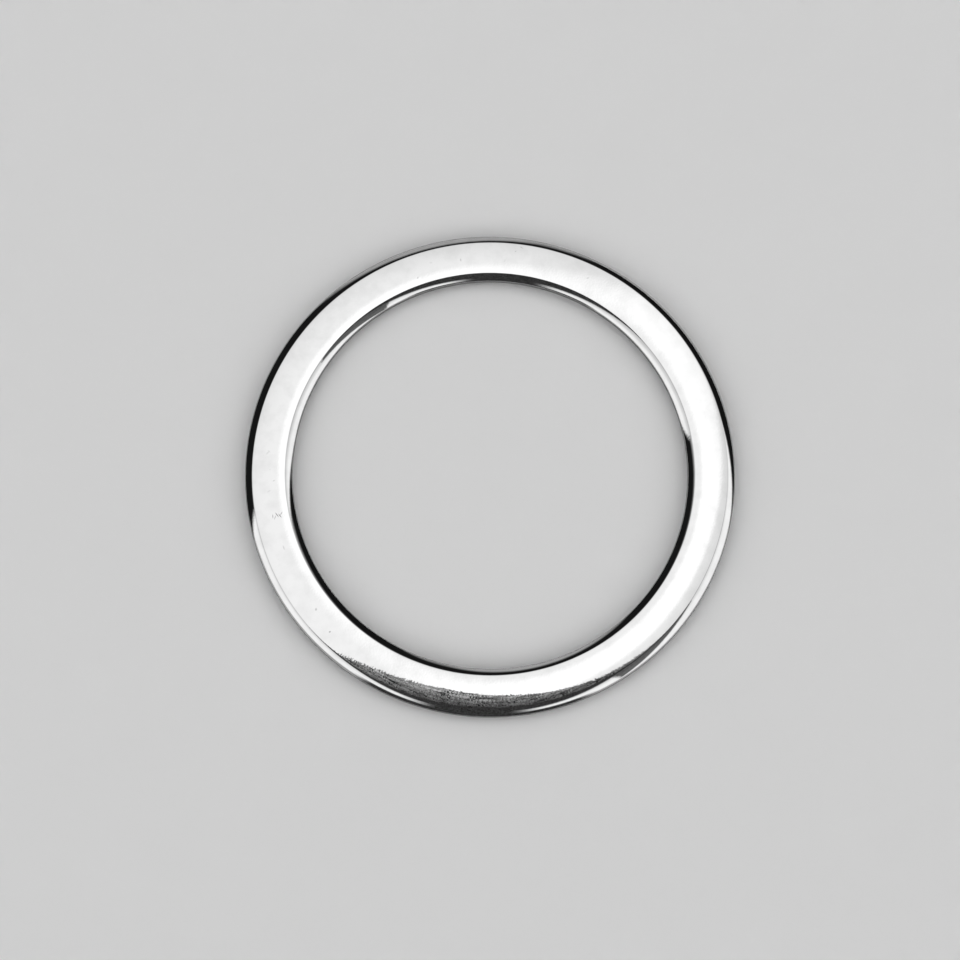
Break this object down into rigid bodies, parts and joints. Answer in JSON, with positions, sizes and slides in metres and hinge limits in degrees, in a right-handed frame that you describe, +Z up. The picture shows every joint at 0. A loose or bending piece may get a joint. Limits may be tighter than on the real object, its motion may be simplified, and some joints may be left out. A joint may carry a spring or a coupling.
{
  "type": "metal o-ring",
  "caption": "Flat round metal ring with a lightly crowned face and sloping, rounded edges, bright plated, for joining straps, webbing or cords.",
  "frame": {"origin": "centre of the flat back, on the surface the ring lies on", "axes": "+Z up along the ring's axis, from the flat back towards the crowned front"},
  "size_m": [0.062, 0.062, 0.002],
  "materials": {
    "nickel_plate": "bright nickel plate over die-cast zinc, buffed on the front and its sloping edges, duller and darker on the walls"
  },
  "bodies": {
    "root": {"ring": "nickel_plate"}
  },
  "joints": []
}
